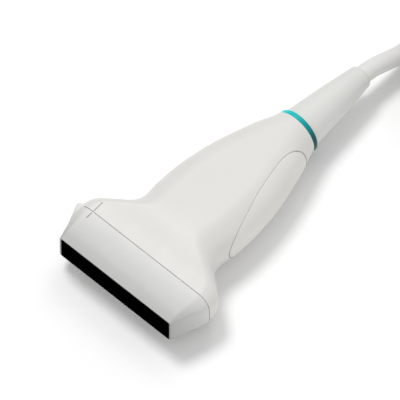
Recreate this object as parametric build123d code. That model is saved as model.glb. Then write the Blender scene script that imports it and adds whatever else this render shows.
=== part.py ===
from build123d import *
import os
from functools import lru_cache
from math import degrees, pi, radians, tan

# Linear-array ultrasound probe with its cable and plug, in millimetres.
# The probe lies on its broad side: X is its width, +Y runs from the lens to the cable, +Z is up.
# "Behind" means a distance along +Y from the plane of the nose's front rim.

# Head and handle outline
lens_border = 3.0
lens_height = 9.2
lens_thickness = 1.5
lens_proud = 0.3
lens_corner = 0.35
lens_edge_round = 0.24
rim_side = 0.75
rim_edge = 0.35
front_corner = 0.9
nose_bulge_at = 5.5
nose_bulge_swell = 1.95
nose_bulge_thickness = 12.6
nose_bulge_corner = 2.8
seam_at = 14.2
head_width = 60.4
head_thickness = 14.2
head_corner = 5.3
shoulder_at = 16.8
shoulder_thickness = 14.8
neck_at = 31.0
neck_width = 36.4
grip_share = 0.245
grip_width = 37.2
grip_thickness = 20.0
palm_share = 0.473
palm_width = 34.8
wrist_share = 0.683
wrist_width = 29.4
wrist_thickness = 19.8
taper_share = 0.858
taper_width = 23.2
taper_thickness = 19.0
body_length = 88.1
tail_diameter = 17.4
shoulder_corner = 5.7
side_flat = 0.3
least_corner = 0.3
head_steps = 10
handle_steps = 9

# Walls, joints and clearances of the mouldings
shell_wall = 2.4
nose_wall = 1.5
seam_gap = 0.4
seal_depth = 0.5
lip_length = 2.0
lip_clearance = 0.1
fit = 0.1
bulkhead_thickness = 4.0
leaf_from_neck = 5.2
leaf_from_tail = 5.8
leaf_half_height = 9.3
leaf_crest = 0.6
leaf_front_fullness = 0.6
leaf_rear_fullness = 0.84
leaf_depth = 0.6
leaf_groove = 0.2
leaf_end_groove = 0.4
leaf_seat_gap = 0.05
fin_front = 6.0
fin_rear = 17.0
fin_height = 5.0
fin_rise = 0.8
fin_round = 0.7
mark_front = 11.0
mark_rear = 18.8
mark_width = 0.5
mark_depth = 0.4
mark_from_side = 6.4

# Acoustic stack and wiring inside
stack_length = 44.0
stack_height = 5.6
matching_thickness = 0.55
crystal_thickness = 0.5
crystal_cuts = 21
kerf = 0.3
kerf_depth = 0.35
backing_depth = 9.35
ledge_depth = 1.8
frame_wall = 1.3
flange_depth = 1.6
flex_thickness = 0.25
flex_front_width = 40.0
flex_middle_width = 34.0
flex_bend_share = 0.42
flex_middle_height = 2.6
flex_edge = 2.2
board_width = 23.0
board_length = 24.0
board_thickness = 1.2
socket_width = 21.0
socket_length = 5.0
socket_height = 2.2
socket_setback = 2.0
post_radius = 2.3
post_spread = 17.0
post_margin = 4.5
pin_radius = 1.0
pin_depth = 3.0
fan_length = 9.0
fan_width = 18.0
fan_thickness = 3.0
fan_corner = 1.2
bundle_width = 5.6
bundle_corner = 2.74

# Cable exit
cable_diameter = 6.6
gland_flange_diameter = 12.2
gland_flange_length = 3.0
gland_diameter = 10.0
gland_reach = 7.0
crimp_diameter = 9.4
crimp_length = 5.0
bare_jacket = 2.1
ring_diameter = 17.2
ring_width = 2.2
ring_round = 0.7
boot_length = 30.7
boot_root_diameter = 15.4
boot_waist_diameter = 12.4
boot_tip_diameter = 8.7
boot_tip_round = 1.3
boot_tip_inset = 0.95

# Plug at the far end of the cable
plug_width = 40.0
plug_length = 38.0
plug_height = 22.0
plug_wall = 2.0
plug_corner = 5.0
plug_edge = 2.0
plug_boot_length = 14.0
plug_boot_root_diameter = 13.0
plug_boot_tip_diameter = 9.6
plug_boot_neck_diameter = 11.0
plug_boot_flange_diameter = 13.0
plug_boot_flange_length = 2.0
shroud_width = 30.0
shroud_inset = 2.5
shroud_wall = 1.0
shroud_reach = 6.5
shroud_inside = 8.0
shroud_ear = 1.0
contact_setback = 2.0
contact_count = 12
contact_width = 1.0
contact_height = 2.6
contact_depth = 3.0
plug_board_width = 22.0
plug_board_thickness = 1.6
plug_fan_length = 4.0
plug_crimp_diameter = 11.0
plug_crimp_length = 3.0
boss_radius = 3.0
boss_spread = 29.4
boss_rear = 8.0
boss_front = 17.0
screw_radius = 0.95
screw_head_radius = 2.0
screw_head_thickness = 1.4
screw_bite = 2.4
pivot_setback = 10.0
shaft_radius = 2.5
shaft_fit = 0.05
shaft_head_radius = 3.4
shaft_head_thickness = 0.5
tongue_length = 14.0
tongue_width = 5.0
tongue_thickness = 1.4
tongue_hub_radius = 4.5
lever_length = 26.0
lever_hub_radius = 6.0
lever_tip_radius = 4.2
lever_thickness = 4.0
lever_round = 1.0
lever_cap = 1.0
running_gap = 0.3

# Put-away cable: a coil of eight turns, two beside each other and four high, held by a strap
coil_x = 28.0
coil_y = 107.5
coil_turn_radius = 33.0
coil_columns = 2
coil_rows = 4
strap_thickness = 0.8
strap_width = 10.0
strap_angle = 45.0
plug_gap = 7.9

# Route of the free cable from inside the boot to the coil, chosen by hand
cable_route = [
    (0.0, 52.0, 10.0),
    (0.0, 64.6, 10.0),
    (0.7, 72.4, 8.25),
    (0.8, 79.6, 5.95),
    (-0.5, 86.5, 4.6),
    (-2.9, 93.0, 4.15),
    (-5.9, 99.2, 4.1),
]
arc_share = 0.45

# Places that follow from the sizes
ring_at = body_length
boot_at = ring_at + ring_width
boot_end = boot_at + boot_length
lens_y = -(boot_end - lens_proud) / 2
axis_z = grip_thickness / 2
bulkhead_at = body_length - bulkhead_thickness
lens_length = stack_length + 2 * lens_border
front_width = lens_length + 2 * rim_side
nose_bulge_width = front_width + 2 * nose_bulge_swell
front_thickness = lens_height + 2 * rim_edge
stack_at = lens_thickness - lens_proud
crystal_at = stack_at + matching_thickness
backing_at = crystal_at + crystal_thickness
backing_end = backing_at + backing_depth
ledge_back = stack_at + ledge_depth
nose_end = seam_at - seam_gap / 2
shell_start = seam_at + seam_gap / 2
lip_start = shell_start - lip_length
lip_inset = nose_wall + lip_clearance
frame_end = lip_start - lip_clearance
gland_at = bulkhead_at - gland_flange_length
gland_end = boot_at + gland_reach
crimp_at = gland_at - crimp_length
lead_start = crimp_at - bare_jacket
board_end = lead_start - fan_length
board_at = board_end - board_length
socket_at = board_at + socket_setback
coil_width = coil_columns * cable_diameter
coil_height = coil_rows * cable_diameter
coil_outside = coil_turn_radius + coil_width / 2
reach = 400.0
overcut = 1.0


def smooth(share):
    return share * share * (3 - 2 * share)


def between(start, end, share):
    return start + (end - start) * share


def along_handle(share):
    return between(neck_at, body_length, share)


def across(behind, up=0.0):
    return Plane(origin=(0, lens_y + behind, axis_z + up), x_dir=(1, 0, 0), z_dir=(0, 1, 0))


def slab(front, rear):
    middle = lens_y + (front + rear) / 2
    return Pos(0, middle, axis_z) * Box(reach, rear - front, reach)


def half_space(side):
    return Pos(0, 0, axis_z + side * reach / 2) * Box(2 * reach, 2 * reach, reach)


def block(width, front, rear, height, up=0.0, corner=0.0):
    plane = across(front, up)
    profile = RectangleRounded(width, height, corner) if corner else Rectangle(width, height)
    return extrude(plane * profile, rear - front)


def rod(radius, front, rear):
    return extrude(across(front) * Circle(radius), rear - front)


# Rows that drive the form: distance behind the rim, width, thickness and corner radius
def control_rows():
    full = max(grip_thickness, wrist_thickness) / 2
    return [
        (0.0, front_width, front_thickness, front_corner),
        (nose_bulge_at, nose_bulge_width, nose_bulge_thickness, nose_bulge_corner),
        (seam_at, head_width, head_thickness, head_corner),
        (shoulder_at, head_width, shoulder_thickness, shoulder_corner),
        (neck_at, neck_width, grip_thickness, full),
        (along_handle(grip_share), grip_width, grip_thickness, full),
        (along_handle(palm_share), palm_width, grip_thickness, full),
        (along_handle(wrist_share), wrist_width, wrist_thickness, full),
        (along_handle(taper_share), taper_width, taper_thickness, full),
        (body_length, tail_diameter, tail_diameter, full),
    ]


# Slope at each row of a curve that never overshoots its rows
def row_slopes(places, values):
    steps = [(b - a) / (q - p) for p, q, a, b in zip(places, places[1:], values, values[1:])]
    slopes = [steps[0]]
    for before, after in zip(steps, steps[1:]):
        slopes.append(2 * before * after / (before + after) if before * after > 0 else 0.0)
    return slopes + [steps[-1]]


def curve_at(places, values, place):
    slopes = row_slopes(places, values)
    span = max(index for index in range(len(places) - 1) if places[index] <= place)
    width = places[span + 1] - places[span]
    share = (place - places[span]) / width
    rise = smooth(share)
    lead = share * (1 - share) ** 2 * slopes[span] - share**2 * (1 - share) * slopes[span + 1]
    return between(values[span], values[span + 1], rise) + width * lead


def stations():
    places, widths, thicknesses, corners = zip(*control_rows())
    head = [neck_at * step / head_steps for step in range(head_steps)]
    handle = [along_handle(step / handle_steps) for step in range(handle_steps + 1)]
    rows = []
    for behind in head + handle:
        thickness = curve_at(places, thicknesses, behind)
        corner = min(curve_at(places, corners, behind), thickness / 2 - side_flat)
        rows.append((behind, curve_at(places, widths, behind), thickness, corner))
    return rows


# The whole moulded form from nose rim to tail, drawn in by an even amount
@lru_cache(maxsize=None)
def form(inset):
    sections = []
    for behind, width, thickness, corner in stations():
        rounding = max(corner - inset, least_corner)
        profile = RectangleRounded(width - 2 * inset, thickness - 2 * inset, rounding)
        sections.append(across(behind) * profile)
    return loft(sections)


def side_at(behind):
    return between(front_width, head_width, behind / seam_at) / 2


# Raised orientation fin on the -X side: flush at its front, a step at its rear
def orientation_fin():
    root = fin_height / 2
    outline = Polyline(
        (-side_at(fin_front) + root, lens_y + fin_front),
        (-side_at(fin_front), lens_y + fin_front),
        (-head_width / 2 - fin_rise, lens_y + fin_rear),
        (-head_width / 2 + root, lens_y + fin_rear),
        close=True,
    )
    fin = extrude(Pos(0, 0, axis_z) * make_face(outline), fin_height / 2, both=True)
    outer = fin.faces().sort_by(Axis.X)[0]
    return fillet(outer.edges().filter_by(GeomType.LINE).filter_by(Axis.Z, reverse=True), fin_round)


# Fine line moulded across the seam beside the fin
def orientation_line():
    place_x = -head_width / 2 + mark_from_side
    length = mark_rear - mark_front
    middle = lens_y + mark_front + length / 2
    blade = Pos(place_x, middle, axis_z + reach / 2) * Box(mark_width, length, reach)
    return blade - form(mark_depth)


@lru_cache(maxsize=None)
def outer_form():
    return form(0.0) + orientation_fin() - orientation_line()


# One quarter of the leaf's outline, from an end to the crest
def leaf_quarter(end, crest, height, fullness):
    shoulder = between(crest, end, fullness)
    return Bezier((end, 0), (end, fullness * height), (shoulder, height), (crest, height))


# Leaf outline of the thumb grip, drawn on the side view and pushed through the +X side
def leaf(edge_trim, end_trim):
    front = lens_y + neck_at + leaf_from_neck + end_trim
    rear = lens_y + body_length - leaf_from_tail - end_trim
    height = leaf_half_height - edge_trim
    crest = between(front, rear, leaf_crest)
    upper = [
        leaf_quarter(front, crest, height, leaf_front_fullness),
        leaf_quarter(rear, crest, height, leaf_rear_fullness),
    ]
    lower = [mirror(edge, Plane.XZ) for edge in upper]
    return extrude(Plane.YZ * Pos(0, axis_z) * make_face(upper + lower), reach)


def thumb_grip():
    return (form(0.0) & leaf(leaf_groove, leaf_end_groove)) - form(leaf_depth - leaf_seat_gap)


def post_places():
    near = socket_at + socket_length + post_radius + running_gap
    far = board_end - post_margin
    return [(side * post_spread / 2, behind) for side in (-1, 1) for behind in (near, far)]


def upright(x, behind, radius, low, high):
    return Pos(x, lens_y + behind, axis_z + (low + high) / 2) * Cylinder(radius, high - low)


def handle_shell(side):
    whole = outer_form() & slab(shell_start, body_length)
    whole -= form(shell_wall) & slab(-reach, bulkhead_at)
    whole += (form(lip_inset) - form(shell_wall)) & slab(lip_start, shell_start + shell_wall)
    whole -= leaf(0.0, 0.0) - form(leaf_depth)
    whole -= rod(gland_diameter / 2 + fit / 2, bulkhead_at - overcut, body_length + overcut)
    shell = whole & half_space(side)
    rest = board_thickness / 2
    for x, behind in post_places():
        post = upright(x, behind, post_radius, rest, grip_thickness)
        if side < 0:
            post = mirror(post, Plane.XY.offset(axis_z))
        shell += post & form(shell_wall / 2)
    for x, behind in post_places():
        if side > 0:
            shell += upright(x, behind, pin_radius, -rest - pin_depth, rest + post_radius)
        else:
            shell -= upright(x, behind, pin_radius + fit, -rest - pin_depth - running_gap, rest)
    return shell


def nose_cover():
    nose = outer_form() & slab(-reach, nose_end)
    nose -= form(nose_wall) & slab(ledge_back, reach)
    nose -= block(lens_length, -overcut, stack_at, lens_height, corner=lens_corner)
    return nose - block(stack_length + 2 * fit, 0.0, ledge_back + overcut, stack_height + 2 * fit)


def nose_seal():
    return (form(seal_depth) - form(lip_inset - fit / 2)) & slab(nose_end, shell_start)


def acoustic_lens():
    pad = block(lens_length - fit, -lens_proud, stack_at, lens_height - fit, corner=lens_corner)
    front = pad.faces().sort_by(Axis.Y)[0]
    return fillet(front.edges(), lens_edge_round)


def matching_layer():
    return block(stack_length, stack_at, crystal_at, stack_height)


# Piezo bar, diced into elements by a row of shallow saw cuts
def piezo_array():
    crystal = block(stack_length, crystal_at, backing_at, stack_height)
    pitch = stack_length / (crystal_cuts + 1)
    for cut in range(crystal_cuts):
        x = (cut + 1) * pitch - stack_length / 2
        crystal -= Pos(x, 0, 0) * block(kerf, crystal_at - overcut, crystal_at + kerf_depth, 2 * stack_height)
    return crystal


def backing_block():
    return block(stack_length, backing_at, backing_end, stack_height)


def array_frame():
    sleeve_width = stack_length + 2 * frame_wall
    sleeve_height = stack_height + 2 * frame_wall
    flange = form(nose_wall + fit / 2) & slab(frame_end - flange_depth, frame_end)
    sleeve = block(sleeve_width, ledge_back, frame_end, sleeve_height) + flange
    return sleeve - block(stack_length + fit, 0.0, reach, stack_height + fit)


def flex_circuit(side):
    rows = [
        (backing_end, flex_front_width, flex_edge),
        (between(backing_end, socket_at, flex_bend_share), flex_middle_width, flex_middle_height),
        (socket_at, socket_width, board_thickness / 2 + socket_height / 2),
    ]
    return loft([across(y, side * up) * Rectangle(width, flex_thickness) for y, width, up in rows])


def termination_board():
    board = block(board_width, board_at, board_end, board_thickness)
    for x, behind in post_places():
        board -= upright(x, behind, pin_radius + fit, -board_thickness, board_thickness)
    return board


def board_socket(side):
    up = side * (board_thickness + socket_height) / 2
    return block(socket_width, socket_at, socket_at + socket_length, socket_height, up)


def wire_fan(start, end):
    wide = across(start) * RectangleRounded(fan_width, fan_thickness, fan_corner)
    tight = across(end) * RectangleRounded(bundle_width, bundle_width, bundle_corner)
    return loft([wide, tight], ruled=True)


def collar(outer, front, rear, bore):
    return rod(outer / 2, front, rear) - rod(bore / 2, front - overcut, rear + overcut)


def cable_gland():
    flange = rod(gland_flange_diameter / 2, gland_at, bulkhead_at)
    neck = rod(gland_diameter / 2, bulkhead_at, gland_end)
    return flange + neck - rod((cable_diameter + fit) / 2, gland_at - overcut, gland_end + overcut)


def colour_ring():
    band = rod(ring_diameter / 2, ring_at, boot_at)
    band = fillet(band.edges(), ring_round)
    return band - rod((gland_diameter + fit) / 2, ring_at - overcut, boot_at + overcut)


def tapered_boot(root, waist, tip, start, end, bore):
    shoulder = end - boot_tip_round
    lip = tip / 2 - boot_tip_inset
    eighth_turn = 1 - 0.5**0.5
    side = Spline((root / 2, start), (waist / 2, (start + end) / 2), (tip / 2, shoulder))
    nose = ThreePointArc(
        (tip / 2, shoulder),
        (tip / 2 - boot_tip_inset * eighth_turn, end - boot_tip_round * eighth_turn),
        (lip, end),
    )
    inner = Polyline((lip, end), (bore / 2, end), (bore / 2, start), (root / 2, start))
    return revolve(make_face([side, nose, inner]), Axis.Y)


def strain_relief():
    start = lens_y + boot_at
    end = lens_y + boot_end
    boot = tapered_boot(
        boot_root_diameter, boot_waist_diameter, boot_tip_diameter, start, end, cable_diameter + fit
    )
    return Pos(0, 0, axis_z) * boot - rod((gland_diameter + fit) / 2, boot_at - overcut, gland_end + fit)


# Free cable: straight runs joined by arcs as large as the runs allow
def route_radii(points):
    radii = []
    for before, here, after in zip(points, points[1:], points[2:]):
        first = Vector(*here) - Vector(*before)
        second = Vector(*after) - Vector(*here)
        turn = first.get_angle(second)
        radii.append(arc_share * min(first.length, second.length) / tan(radians(turn) / 2))
    return radii


def coil_section(grow):
    profile = RectangleRounded(coil_width + 2 * grow, coil_height + 2 * grow, cable_diameter / 2 + grow)
    middle = (coil_turn_radius, 0, strap_thickness + coil_height / 2)
    return Plane(origin=middle, x_dir=(1, 0, 0), z_dir=(0, -1, 0)) * profile


def cable_coil():
    return Pos(coil_x, coil_y, 0) * revolve(coil_section(0.0), Axis.Z)


def coil_strap():
    arc = degrees(strap_width / coil_turn_radius)
    band = coil_section(strap_thickness) - coil_section(0.0)
    return Pos(coil_x, coil_y, 0) * Rot(0, 0, strap_angle - arc / 2) * revolve(band, Axis.Z, arc)


def free_cable():
    radii = route_radii(cable_route)
    path = FilletPolyline(*cable_route, radius=radii)
    tube = sweep(Plane(origin=path @ 0, z_dir=path % 0) * Circle(cable_diameter / 2), path)
    share = tube.volume / (pi * cable_diameter**2 / 4 * path.length)
    print("cable arc radii", [round(radius, 1) for radius in radii], "volume share", round(share, 4))
    return tube - cable_coil()


# The plug is drawn from the tip of its boot, with +Y towards the socket, then set beside the coil
plug_x = coil_x - coil_outside + cable_diameter / 2
plug_y = coil_y + (coil_outside**2 - (coil_x - plug_x) ** 2) ** 0.5 + plug_gap
plug_axis = plug_height / 2
screw_tip = plug_axis + screw_bite
plug_rear = plug_boot_length
plug_front = plug_rear + plug_length
plug_inside_rear = plug_rear + plug_wall
plug_inside_front = plug_front - plug_wall
plug_crimp_at = plug_inside_rear + plug_boot_flange_length
plug_cable_end = plug_crimp_at + plug_crimp_length
plug_board_at = plug_cable_end + plug_fan_length
shroud_at = plug_inside_front - shroud_inside + plug_wall
shroud_end = plug_front + shroud_reach
pivot_y = plug_front - pivot_setback
ceiling = plug_height - plug_wall
shroud_height = ceiling - plug_wall - 2 * shroud_inset
tongue_top = ceiling - running_gap
tongue_bottom = tongue_top - tongue_thickness
lever_bottom = plug_height + running_gap
lever_top = lever_bottom + lever_thickness


def placed(piece):
    return Pos(plug_x, plug_y, 0) * piece


def bar(width, start, end, height, up=plug_axis, x=0.0):
    return Pos(x, (start + end) / 2, up) * Box(width, end - start, height)


def plug_rod(radius, start, end):
    plane = Plane(origin=(0, start, plug_axis), x_dir=(1, 0, 0), z_dir=(0, 1, 0))
    return extrude(plane * Circle(radius), end - start)


def drum(x, y, radius, low, high):
    return Pos(x, y, (low + high) / 2) * Cylinder(radius, high - low)


def boss_places():
    lines = (plug_rear + boss_rear, plug_front - boss_front)
    return [(side * boss_spread / 2, y) for side in (-1, 1) for y in lines]


@lru_cache(maxsize=None)
def plug_housing():
    middle = (plug_rear + plug_front) / 2
    case = extrude(Pos(0, middle, 0) * RectangleRounded(plug_width, plug_length, plug_corner), plug_height)
    rims = case.faces().sort_by(Axis.Z)
    case = fillet(rims[0].edges() + rims[-1].edges(), plug_edge)
    inside = RectangleRounded(
        plug_width - 2 * plug_wall, plug_length - 2 * plug_wall, plug_corner - plug_wall
    )
    case -= extrude(Pos(0, middle, plug_wall) * inside, plug_height - 2 * plug_wall)
    for x, y in boss_places():
        case += drum(x, y, boss_radius, plug_wall, ceiling)
    case -= plug_rod((plug_boot_neck_diameter + fit) / 2, plug_rear - overcut, plug_inside_rear + overcut)
    case -= bar(shroud_width + fit, shroud_at - overcut, plug_front + overcut, shroud_height + fit)
    ear_width = shroud_width + 2 * shroud_ear
    case -= bar(ear_width + fit, plug_inside_front - plug_wall, plug_inside_front, shroud_height + fit)
    return case


def plug_half(side):
    middle = Pos(0, 0, plug_axis + side * reach / 2) * Box(reach, reach, reach)
    return plug_housing() & middle


def plug_base():
    base = plug_half(-1)
    for x, y in boss_places():
        base -= drum(x, y, screw_radius + fit, -overcut, plug_axis + overcut)
        base -= drum(x, y, screw_head_radius + fit, -overcut, screw_head_thickness + fit)
    return base


def plug_cover():
    cover = plug_half(1)
    for x, y in boss_places():
        cover -= drum(x, y, screw_radius + fit / 2, plug_axis - overcut, screw_tip + overcut)
    cover -= drum(0, pivot_y, shaft_radius + shaft_fit, ceiling - overcut, plug_height + overcut)
    slot_left = -tongue_width / 2 - running_gap
    slot_right = tongue_length - running_gap
    slot_height = ceiling - tongue_bottom + running_gap
    slot = bar(
        slot_right - slot_left,
        plug_inside_front - overcut,
        plug_front + overcut,
        slot_height,
        ceiling - slot_height / 2,
        (slot_left + slot_right) / 2,
    )
    return cover - slot


def plug_screws():
    screws = []
    for x, y in boss_places():
        head = drum(x, y, screw_head_radius, fit, fit + screw_head_thickness)
        shank = drum(x, y, screw_radius, fit + screw_head_thickness, screw_tip)
        screws.append(placed(head + shank))
    return Compound(children=[screw.solid() for screw in screws])


def plug_boot():
    boot = Rot(0, 0, 180) * tapered_boot(
        plug_boot_root_diameter,
        (plug_boot_root_diameter + plug_boot_tip_diameter) / 2,
        plug_boot_tip_diameter,
        -plug_boot_length,
        0.0,
        cable_diameter + fit,
    )
    neck = plug_rod(plug_boot_neck_diameter / 2, plug_rear, plug_inside_rear)
    flange = plug_rod(plug_boot_flange_diameter / 2, plug_inside_rear, plug_crimp_at)
    boot = Pos(0, 0, plug_axis) * boot + neck + flange
    return boot - plug_rod((cable_diameter + fit) / 2, -overcut, plug_crimp_at + overcut)


def plug_shroud():
    shell = bar(shroud_width, shroud_at, shroud_end, shroud_height)
    ear_width = shroud_width + 2 * shroud_ear
    ears = bar(ear_width, plug_inside_front - plug_wall, plug_inside_front, shroud_height)
    inside = bar(
        shroud_width - 2 * shroud_wall,
        shroud_at - overcut,
        shroud_end + overcut,
        shroud_height - 2 * shroud_wall,
    )
    return shell + ears - inside


def contact_block():
    width = shroud_width - 2 * shroud_wall - fit
    height = shroud_height - 2 * shroud_wall - fit
    front = shroud_end - contact_setback
    insert = bar(width, shroud_at, front, height)
    pitch = width / (contact_count + 1)
    for row in (-1, 1):
        for column in range(contact_count):
            x = (column + 1) * pitch - width / 2
            up = plug_axis + row * height / 4
            insert -= bar(contact_width, front - contact_depth, front + overcut, contact_height, up, x)
    return insert


def plug_board():
    return bar(plug_board_width, plug_board_at, shroud_at, plug_board_thickness)


def plug_crimp():
    ring = plug_rod(plug_crimp_diameter / 2, plug_crimp_at, plug_cable_end)
    return ring - plug_rod((cable_diameter + fit) / 2, plug_crimp_at - overcut, plug_cable_end + overcut)


def plug_fan():
    offset = (0, -lens_y + plug_cable_end, plug_axis - axis_z)
    fan = wire_fan(0.0, plug_fan_length)
    turned_round = mirror(fan, Plane.XZ.offset(-(lens_y + plug_fan_length / 2)))
    return Pos(*offset) * turned_round


def cable_tail():
    start = coil_y - plug_y
    tail = placed(plug_rod(cable_diameter / 2, start, plug_cable_end))
    rest = tail - cable_coil()
    return rest.solids().sort_by(Axis.Y)[-1]


def lock_shaft():
    head_bottom = tongue_bottom - shaft_head_thickness
    stem = drum(0, pivot_y, shaft_radius, head_bottom, lever_top - lever_cap)
    return stem + drum(0, pivot_y, shaft_head_radius, head_bottom, tongue_bottom)


def lock_tongue():
    arm_end = tongue_length - tongue_width / 2
    hub = drum(0, pivot_y, tongue_hub_radius, tongue_bottom, tongue_top)
    thick = tongue_top - tongue_bottom
    arm = Pos(arm_end / 2, pivot_y, (tongue_bottom + tongue_top) / 2) * Box(arm_end, tongue_width, thick)
    tip = drum(arm_end, pivot_y, tongue_width / 2, tongue_bottom, tongue_top)
    hole = drum(0, pivot_y, shaft_radius + shaft_fit / 2, tongue_bottom - overcut, tongue_top + overcut)
    return hub + arm + tip - hole


def lock_lever():
    hub = Pos(0, pivot_y) * Circle(lever_hub_radius)
    tip = Pos(0, pivot_y - lever_length + lever_tip_radius) * Circle(lever_tip_radius)
    paddle = extrude(Pos(0, 0, lever_bottom) * make_hull((hub + tip).edges()), lever_thickness)
    top = paddle.faces().sort_by(Axis.Z)[-1]
    paddle = fillet(top.edges(), lever_round)
    hole_radius = shaft_radius + shaft_fit / 2
    return paddle - drum(0, pivot_y, hole_radius, lever_bottom - overcut, lever_top - lever_cap)


nodes = {
    "acoustic_lens": acoustic_lens(),
    "matching_layer": matching_layer(),
    "piezo_array": piezo_array(),
    "backing_block": backing_block(),
    "array_frame": array_frame(),
    "nose_cover": nose_cover(),
    "nose_seal": nose_seal(),
    "upper_shell": handle_shell(1),
    "lower_shell": handle_shell(-1),
    "thumb_grip": thumb_grip(),
    "upper_flex": flex_circuit(1),
    "lower_flex": flex_circuit(-1),
    "termination_board": termination_board(),
    "upper_socket": board_socket(1),
    "lower_socket": board_socket(-1),
    "wire_fan": wire_fan(board_end, lead_start),
    "cable_inner_end": rod(cable_diameter / 2, lead_start, cable_route[0][1] - lens_y),
    "crimp_collar": collar(crimp_diameter, crimp_at, gland_at, cable_diameter + fit),
    "cable_gland": cable_gland(),
    "colour_ring": colour_ring(),
    "strain_relief": strain_relief(),
    "cable": free_cable(),
    "cable_coil": cable_coil(),
    "coil_strap": coil_strap(),
    "cable_tail": cable_tail(),
    "plug_boot": placed(plug_boot()),
    "plug_base": placed(plug_base()),
    "plug_cover": placed(plug_cover()),
    "plug_shroud": placed(plug_shroud()),
    "contact_block": placed(contact_block()),
    "plug_board": placed(plug_board()),
    "plug_crimp": placed(plug_crimp()),
    "plug_fan": placed(plug_fan()),
    "plug_screws": plug_screws(),
    "lock_shaft": placed(lock_shaft()),
    "lock_tongue": placed(lock_tongue()),
    "lock_lever": placed(lock_lever()),
}

os.makedirs("parts", exist_ok=True)
for name, solid in nodes.items():
    export_step(solid, os.path.join("parts", name + ".step"))
print(len(nodes), "nodes; lens plane at y", round(lens_y, 3), "plug at", round(plug_x, 3), round(plug_y, 3))
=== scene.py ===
import math

import bmesh
import bpy
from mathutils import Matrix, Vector


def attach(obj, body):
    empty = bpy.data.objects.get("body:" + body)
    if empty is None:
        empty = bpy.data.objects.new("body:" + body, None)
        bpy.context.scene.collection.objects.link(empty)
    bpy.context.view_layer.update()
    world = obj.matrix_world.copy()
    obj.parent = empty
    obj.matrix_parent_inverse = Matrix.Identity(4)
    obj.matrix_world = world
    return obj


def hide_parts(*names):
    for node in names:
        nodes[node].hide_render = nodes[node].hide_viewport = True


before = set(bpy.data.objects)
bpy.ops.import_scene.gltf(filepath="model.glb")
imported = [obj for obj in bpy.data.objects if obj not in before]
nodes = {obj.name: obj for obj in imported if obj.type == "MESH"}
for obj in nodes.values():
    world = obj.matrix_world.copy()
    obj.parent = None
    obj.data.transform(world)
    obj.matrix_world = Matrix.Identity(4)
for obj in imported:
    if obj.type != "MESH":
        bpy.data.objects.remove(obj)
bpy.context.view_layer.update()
mm = 0.001
print("frame loaded:", len(nodes), "nodes")


# Camera at the photo's angle, far off with a very long lens because the photo has no perspective to speak of
view = {
    "azimuth": 43.5,
    "elevation": 55.1,
    "lens": 1500.0,
    "sensor": 36.0,
    "frameWidth": 0.1342,           # width of the picture at the target
    "aim": (0.00376, -0.02297, 0.0271),
    "clipShare": 2.0,               # how far it sees, in distances to the target
}


def addCamera():
    turn, rise = math.radians(view["azimuth"]), math.radians(view["elevation"])
    toward = Vector((math.sin(turn) * math.cos(rise), -math.cos(turn) * math.cos(rise), math.sin(rise)))
    away = view["lens"] / view["sensor"] * view["frameWidth"]
    data = bpy.data.cameras.new("camera")
    data.lens = view["lens"]
    data.sensor_width = view["sensor"]
    data.clip_end = view["clipShare"] * away
    camera = bpy.data.objects.new("camera", data)
    bpy.context.scene.collection.objects.link(camera)
    camera.location = Vector(view["aim"]) + toward * away
    camera.rotation_euler = toward.to_track_quat("Z", "Y").to_euler()
    bpy.context.scene.camera = camera


addCamera()
print("camera set")


# Small helpers for node materials
def newMaterial(name):
    material = bpy.data.materials.new(name)
    material.use_nodes = True
    tree = material.node_tree
    shader = next(node for node in tree.nodes if node.type == "BSDF_PRINCIPLED")
    return material, tree, shader


def addNode(tree, kind, **settings):
    node = tree.nodes.new(kind)
    for key, value in settings.items():
        setattr(node, key, value)
    return node


def objectPlace(tree, scale=(1, 1, 1), turn=(0, 0, 0)):
    place = addNode(tree, "ShaderNodeTexCoord")
    mapping = addNode(tree, "ShaderNodeMapping")
    mapping.inputs["Scale"].default_value = scale
    mapping.inputs["Rotation"].default_value = turn
    tree.links.new(place.outputs["Object"], mapping.inputs["Vector"])
    return mapping.outputs["Vector"]


def addNoise(tree, vector, scale, detail=4.0, rough=0.55):
    noise = addNode(tree, "ShaderNodeTexNoise")
    noise.inputs["Scale"].default_value = scale
    noise.inputs["Detail"].default_value = detail
    noise.inputs["Roughness"].default_value = rough
    tree.links.new(vector, noise.inputs["Vector"])
    return noise.outputs["Fac"]


def addRamp(tree, fac, stops):
    ramp = addNode(tree, "ShaderNodeValToRGB")
    while len(ramp.color_ramp.elements) < len(stops):
        ramp.color_ramp.elements.new(0.5)
    for element, (place, colour) in zip(ramp.color_ramp.elements, stops):
        element.position = place
        element.color = (*colour, 1.0)
    tree.links.new(fac, ramp.inputs["Fac"])
    return ramp.outputs["Color"]


def addRange(tree, fac, low, high):
    span = addNode(tree, "ShaderNodeMapRange")
    span.inputs["To Min"].default_value = low
    span.inputs["To Max"].default_value = high
    tree.links.new(fac, span.inputs["Value"])
    return span.outputs["Result"]


def multiplyColours(tree, first, second):
    mix = addNode(tree, "ShaderNodeMix", data_type="RGBA", blend_type="MULTIPLY")
    mix.inputs["Factor"].default_value = 1.0
    tree.links.new(first, mix.inputs["A"])
    tree.links.new(second, mix.inputs["B"])
    return mix.outputs["Result"]


def addBump(tree, shader, height, strength, distance):
    bump = addNode(tree, "ShaderNodeBump")
    bump.inputs["Strength"].default_value = strength
    bump.inputs["Distance"].default_value = distance
    tree.links.new(height, bump.inputs["Height"])
    tree.links.new(bump.outputs["Normal"], shader.inputs["Normal"])


def shade(colour, share):
    return tuple(min(1.0, channel * share) for channel in colour)


# Moulded plastic and rubber: slow tint drift, patchy gloss and a fine spark-eroded grain
moulded = {"driftScale": 38.0, "driftDetail": 2.0, "glossScale": 260.0, "glossDetail": 3.0, "grainDetail": 2.0}


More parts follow.
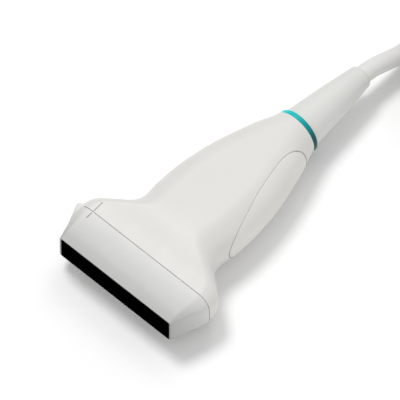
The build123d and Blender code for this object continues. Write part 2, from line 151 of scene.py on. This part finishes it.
def mouldedFinish(
    name, colour, drift=0.02, roughness=(0.42, 0.52), grain=1800.0, depth=0.000012, strength=0.35, specular=0.5
):
    material, tree, shader = newMaterial(name)
    shader.inputs["Specular IOR Level"].default_value = specular
    vector = objectPlace(tree)
    slow = addNoise(tree, vector, moulded["driftScale"], moulded["driftDetail"])
    tint = addRamp(tree, slow, [(0.3, shade(colour, 1 - drift)), (0.7, shade(colour, 1 + drift))])
    tree.links.new(tint, shader.inputs["Base Color"])
    gloss = addNoise(tree, vector, moulded["glossScale"], moulded["glossDetail"])
    tree.links.new(addRange(tree, gloss, *roughness), shader.inputs["Roughness"])
    addBump(tree, shader, addNoise(tree, vector, grain, moulded["grainDetail"]), strength, depth)
    return material


# Painted shade: the part's colour darkened step by step along one axis of the part, start and end in
# millimetres
nosePaintedShade = {                        # painted shade: darker towards the lens, where the nose slopes away from the light
    "axis": "Y", "start": -46.2, "end": -60.4, "tones": [(0.0, 1.0), (0.45, 0.83), (1.0, 0.65)],
}
ringPaintedShade = {                        # painted shade: darker towards +X, the side turned away from the key lamp
    "axis": "X", "start": -6.0, "end": 8.0, "tones": [(0.0, 1.0), (0.5, 0.68), (0.8, 0.38), (1.0, 0.14)],
}


def paintShadeAlong(material, axis, start, end, tones):
    tree = material.node_tree
    shader = next(node for node in tree.nodes if node.type == "BSDF_PRINCIPLED")
    split = addNode(tree, "ShaderNodeSeparateXYZ")
    tree.links.new(objectPlace(tree), split.inputs["Vector"])
    span = addNode(tree, "ShaderNodeMapRange")
    span.inputs["From Min"].default_value = start * mm
    span.inputs["From Max"].default_value = end * mm
    tree.links.new(split.outputs[axis], span.inputs["Value"])
    fade = addRamp(tree, span.outputs["Result"], [(place, (tone,) * 3) for place, tone in tones])
    tint = shader.inputs["Base Color"].links[0].from_socket
    tree.links.new(multiplyColours(tree, tint, fade), shader.inputs["Base Color"])


# Metal with fine brush lines along one axis
brushed = {"scale": 900.0, "detail": 3.0, "dark": 0.9, "bright": 1.06, "strength": 0.2, "depth": 0.00001}


def brushedFinish(name, colour, stretch, roughness=(0.26, 0.4)):
    material, tree, shader = newMaterial(name)
    lines = addNoise(tree, objectPlace(tree, scale=stretch), brushed["scale"], brushed["detail"])
    tones = [(0.3, shade(colour, brushed["dark"])), (0.7, shade(colour, brushed["bright"]))]
    tint = addRamp(tree, lines, tones)
    tree.links.new(tint, shader.inputs["Base Color"])
    shader.inputs["Metallic"].default_value = 1.0
    tree.links.new(addRange(tree, lines, *roughness), shader.inputs["Roughness"])
    addBump(tree, shader, lines, brushed["strength"], brushed["depth"])
    return material


finishes = {
    "shellWhite": (0.612, 0.602, 0.582),
    "noseWhite": (0.585, 0.582, 0.566),
    "gripWhite": (0.645, 0.637, 0.608),
    "bootWhite": (0.60, 0.597, 0.58),
    "jacketWhite": (0.64, 0.636, 0.621),
    "plugWhite": (0.60, 0.592, 0.572),
    "ringTeal": (0.008, 0.54, 0.55),
    "lensBlack": (0.0006, 0.0006, 0.0006),
    "leverGrey": (0.23, 0.235, 0.25),
    "resinGrey": (0.05, 0.05, 0.055),
    "innerGrey": (0.09, 0.09, 0.095),
    "sealGrey": (0.80, 0.795, 0.78),
    "piezoTan": (0.36, 0.33, 0.25),
    "flexAmber": (0.45, 0.17, 0.02),
    "boardGreen": (0.01, 0.11, 0.045),
    "wireRed": (0.24, 0.03, 0.025),
    "contactBlack": (0.008, 0.008, 0.009),
    "steel": (0.62, 0.62, 0.63),
    "strapGrey": (0.10, 0.105, 0.115),
}

shellFinish = mouldedFinish("shellFinish", finishes["shellWhite"])
noseFinish = mouldedFinish("noseFinish", finishes["noseWhite"])
# the nose's colour carries painted shade, darker towards the lens
paintShadeAlong(noseFinish, **nosePaintedShade)
gripFinish = mouldedFinish("gripFinish", finishes["gripWhite"], roughness=(0.55, 0.66), grain=2600.0)
bootFinish = mouldedFinish("bootFinish", finishes["bootWhite"], roughness=(0.5, 0.6), grain=2200.0)
jacketFinish = mouldedFinish("jacketFinish", finishes["jacketWhite"], roughness=(0.46, 0.56), grain=1500.0)
plugFinish = mouldedFinish("plugFinish", finishes["plugWhite"])
ringFinish = mouldedFinish(
    "ringFinish", finishes["ringTeal"], drift=0.04, roughness=(0.3, 0.38), strength=0.15, specular=0.15
)
# the ring's colour carries painted shade, darker towards +X
paintShadeAlong(ringFinish, **ringPaintedShade)
lensFinish = mouldedFinish(
    "lensFinish", finishes["lensBlack"], roughness=(0.7, 0.8), grain=2400.0, specular=0.0
)
leverFinish = mouldedFinish("leverFinish", finishes["leverGrey"], drift=0.05)
resinFinish = mouldedFinish("resinFinish", finishes["resinGrey"], drift=0.08, roughness=(0.55, 0.7))
innerFinish = mouldedFinish("innerFinish", finishes["innerGrey"], drift=0.05)
sealFinish = mouldedFinish("sealFinish", finishes["sealGrey"], roughness=(0.65, 0.75))
piezoFinish = mouldedFinish("piezoFinish", finishes["piezoTan"], drift=0.1, roughness=(0.5, 0.6))
flexFinish = mouldedFinish(
    "flexFinish", finishes["flexAmber"], drift=0.12, roughness=(0.2, 0.3), strength=0.1
)
boardFinish = mouldedFinish("boardFinish", finishes["boardGreen"], drift=0.15, roughness=(0.3, 0.4))
wireFinish = mouldedFinish("wireFinish", finishes["wireRed"], drift=0.2)
contactFinish = mouldedFinish("contactFinish", finishes["contactBlack"])
steelAlongY = brushedFinish("steelAlongY", finishes["steel"], (1.0, 0.06, 1.0))
steelRound = brushedFinish("steelRound", finishes["steel"], (1.0, 1.0, 0.1))


# Woven tape: two crossed rows of waves
woven = {
    "pitch": 0.0012, "waveShare": 0.314, "turn": 45.0, "distortion": 0.6,
    "dark": 0.7, "bright": 1.25, "roughness": 0.85, "sheen": 0.2, "strength": 0.6, "depth": 0.0002,
}


def wovenFinish(name, colour):
    material, tree, shader = newMaterial(name)
    vector = objectPlace(tree, turn=(0, 0, math.radians(woven["turn"])))
    waves = []
    for direction in ("X", "Z"):
        wave = addNode(tree, "ShaderNodeTexWave", bands_direction=direction)
        wave.inputs["Scale"].default_value = woven["waveShare"] / woven["pitch"]
        wave.inputs["Distortion"].default_value = woven["distortion"]
        tree.links.new(vector, wave.inputs["Vector"])
        waves.append(wave.outputs["Fac"])
    weave = addNode(tree, "ShaderNodeMath", operation="MULTIPLY")
    tree.links.new(waves[0], weave.inputs[0])
    tree.links.new(waves[1], weave.inputs[1])
    tones = [(0.0, shade(colour, woven["dark"])), (1.0, shade(colour, woven["bright"]))]
    tint = addRamp(tree, weave.outputs[0], tones)
    tree.links.new(tint, shader.inputs["Base Color"])
    shader.inputs["Roughness"].default_value = woven["roughness"]
    shader.inputs["Sheen Weight"].default_value = woven["sheen"]
    addBump(tree, shader, weave.outputs[0], woven["strength"], woven["depth"])
    return material


strapFinish = wovenFinish("strapFinish", finishes["strapGrey"])

finishOf = {
    "acoustic_lens": lensFinish, "matching_layer": resinFinish, "piezo_array": piezoFinish,
    "backing_block": resinFinish, "array_frame": innerFinish,
    "nose_cover": noseFinish, "nose_seal": sealFinish,
    "upper_shell": shellFinish, "lower_shell": shellFinish, "thumb_grip": gripFinish,
    "upper_flex": flexFinish, "lower_flex": flexFinish, "termination_board": boardFinish,
    "upper_socket": innerFinish, "lower_socket": innerFinish, "wire_fan": wireFinish,
    "cable_inner_end": jacketFinish, "crimp_collar": steelRound, "cable_gland": innerFinish,
    "colour_ring": ringFinish, "strain_relief": bootFinish, "cable": jacketFinish, "cable_coil": jacketFinish,
    "coil_strap": strapFinish, "cable_tail": jacketFinish, "plug_boot": bootFinish, "plug_base": plugFinish,
    "plug_cover": plugFinish, "plug_shroud": steelAlongY,
    "contact_block": contactFinish, "plug_board": boardFinish,
    "plug_crimp": steelRound, "plug_fan": wireFinish, "plug_screws": steelRound, "lock_shaft": steelRound,
    "lock_tongue": steelAlongY, "lock_lever": leverFinish,
}
for name, finish in finishOf.items():
    mesh = nodes[name].data
    mesh.materials.clear()
    mesh.materials.append(finish)
print("finishes set on", len(finishOf), "nodes")


# Marker rib on the left side of the nose: flush at its front, a crisp corner at the seam
markerRib = {
    "depth": 3.2, "middle": 10.0, "round": 0.4, "roundSteps": 4, "roundProfile": 0.5,
    "rows": [                       # along Y, side at X, half height
        (-57.0, -27.0, 3.0), (-46.4, -30.95, 5.6), (-44.1, -27.9, 6.0),
    ],
}


def addRib():
    shape = bmesh.new()
    rings = []
    for y, side, half in markerRib["rows"]:
        inside = side + markerRib["depth"]
        corners = [(side, -half), (side, half), (inside, half), (inside, -half)]
        rings.append([shape.verts.new((x * mm, y * mm, (markerRib["middle"] + z) * mm)) for x, z in corners])
    bmesh.ops.contextual_create(shape, geom=rings[0])
    bmesh.ops.contextual_create(shape, geom=rings[-1])
    for ring, following in zip(rings, rings[1:]):
        for corner in range(len(ring)):
            after = (corner + 1) % len(ring)
            shape.faces.new((ring[corner], ring[after], following[after], following[corner]))
    bmesh.ops.recalc_face_normals(shape, faces=shape.faces)
    bmesh.ops.bevel(
        shape, geom=shape.edges, offset=markerRib["round"] * mm, segments=markerRib["roundSteps"],
        profile=markerRib["roundProfile"], affect="EDGES",
    )
    mesh = bpy.data.meshes.new("markerRib")
    shape.to_mesh(mesh)
    shape.free()
    mesh.materials.append(noseFinish)
    for face in mesh.polygons:
        face.use_smooth = True
    piece = bpy.data.objects.new("markerRib", mesh)
    bpy.context.scene.collection.objects.link(piece)
    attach(piece, "probe")
    print("marker rib added")


addRib()


# Cable: the part's route moved a little to follow the photo, then the coil's turns, then the run into the plug
cableLead = {
    "diameter": 6.6,
    "route": [
        (0.0, 50.0, 10.0), (0.0, 57.3, 10.0), (0.0, 64.6, 10.0), (1.2, 72.4, 8.15), (1.9, 79.6, 5.8),
        (0.8, 86.5, 4.5), (-1.9, 93.0, 4.1), (-5.6, 99.1, 4.1),
    ],
    "coilMiddle": (28.0, 107.5),
    "turnRadius": 33.0,
    "turnPitch": 6.6,
    "lowestTurn": 4.1,
    "tracks": [                     # across and up, in pitches
        (0.5, 0), (-0.5, 0), (-0.5, 1), (-0.5, 2), (-0.5, 3), (0.5, 3), (0.5, 2), (0.5, 1),
    ],
    "pointsPerTurn": 24,
    "firstShift": 40.0,             # the last turn shifts first, so no turn crosses its neighbour
    "shiftSpan": 35.0,
    "tail": [(-8.3, 114.0, 10.8), (-8.3, 122.0, 10.95), (-8.3, 131.2, 11.0), (-8.3, 152.2, 11.0)],
    "length": 1.545,
    "exit": (0.0, 0.06065, 0.01),
    "roundSteps": 7,
    "curveSteps": 6,
}


def coilPoints():
    lead = cableLead
    tracks = lead["tracks"]         # the last one is where the tail leaves, so there is one turn fewer
    points = []
    for turn, (here, after) in enumerate(zip(tracks, tracks[1:])):
        shiftStart = lead["firstShift"] + lead["shiftSpan"] * (len(tracks) - 2 - turn)
        for step in range(lead["pointsPerTurn"]):
            done = 360.0 * step / lead["pointsPerTurn"]
            share = min(1.0, max(0.0, (done - shiftStart) / lead["shiftSpan"]))
            across = here[0] + (after[0] - here[0]) * share
            up = here[1] + (after[1] - here[1]) * share
            radius = lead["turnRadius"] + across * lead["turnPitch"]
            angle = math.radians(180.0 - done)
            points.append((
                lead["coilMiddle"][0] + radius * math.cos(angle),
                lead["coilMiddle"][1] + radius * math.sin(angle),
                lead["lowestTurn"] + up * lead["turnPitch"],
            ))
    across, up = lead["tracks"][-1]
    points.append((
        lead["coilMiddle"][0] - lead["turnRadius"] - across * lead["turnPitch"],
        lead["coilMiddle"][1],
        lead["lowestTurn"] + up * lead["turnPitch"],
    ))
    return points


def addCable():
    points = cableLead["route"] + coilPoints() + cableLead["tail"]
    data = bpy.data.curves.new("cableLead", "CURVE")
    data.dimensions = "3D"
    data.bevel_depth = cableLead["diameter"] / 2 * mm
    data.bevel_resolution = cableLead["roundSteps"]
    data.resolution_u = cableLead["curveSteps"]
    spline = data.splines.new("NURBS")
    spline.points.add(len(points) - 1)
    for slot, place in zip(spline.points, points):
        slot.co = (*(value * mm for value in place), 1.0)
    spline.order_u = 3
    spline.use_endpoint_u = True
    data.materials.append(jacketFinish)
    cable = bpy.data.objects.new("cableLead", data)
    bpy.context.scene.collection.objects.link(cable)
    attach(cable, "probe")
    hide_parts("cable", "cable_coil", "cable_tail")
    print("cable laid with", len(points), "points")


addCable()


# Pale floor and soft studio light
studio = {
    "floorSize": 6.0,
    "floorColour": (0.86, 0.86, 0.86),
    "floorDrift": 0.004,
    "floorRoughness": (0.7, 0.8),
    "world": 0.55,
    "lamps": {                      # from which side, how far away and how wide in metres, and watts
        "key": {"from": (-0.46, 0.08, 0.88), "away": 1.3, "size": 0.46, "power": 8.8, "shadow": True},
        "rear": {"from": (-0.3, 0.6, 0.74), "away": 1.3, "size": 0.5, "power": 1.7, "shadow": True},
        "fill": {"from": (0.8, 0.0, 0.45), "away": 1.3, "size": 0.8, "power": 4.7, "shadow": False},
    },
}


def addFloor():
    shape = bmesh.new()
    bmesh.ops.create_grid(shape, x_segments=1, y_segments=1, size=studio["floorSize"] / 2)
    mesh = bpy.data.meshes.new("floor")
    shape.to_mesh(mesh)
    shape.free()
    floor = bpy.data.objects.new("floor", mesh)
    bpy.context.scene.collection.objects.link(floor)
    finish = mouldedFinish(
        "floorFinish", studio["floorColour"], drift=studio["floorDrift"], roughness=studio["floorRoughness"]
    )
    mesh.materials.append(finish)


def addLamp(name, settings):
    data = bpy.data.lights.new(name, "AREA")
    data.shape = "DISK"
    data.size = settings["size"]
    data.energy = settings["power"]
    data.use_shadow = settings["shadow"]
    lamp = bpy.data.objects.new(name, data)
    bpy.context.scene.collection.objects.link(lamp)
    direction = Vector(settings["from"]).normalized()
    lamp.location = direction * settings["away"]
    lamp.rotation_euler = direction.to_track_quat("Z", "Y").to_euler()
    lamp.visible_camera = False     # the camera stands behind the lamps


def addWorld():
    world = bpy.data.worlds.new("studio")
    bpy.context.scene.world = world
    world.use_nodes = True
    sky = next(node for node in world.node_tree.nodes if node.type == "BACKGROUND")
    sky.inputs["Color"].default_value = (1.0, 1.0, 1.0, 1.0)
    sky.inputs["Strength"].default_value = studio["world"]


bpy.context.scene.view_settings.view_transform = "Standard"    # plain whites and blacks, as in the photo
addFloor()
addWorld()
for lampName, lampSettings in studio["lamps"].items():
    addLamp(lampName, lampSettings)
print("studio lit by", len(studio["lamps"]), "lamps")
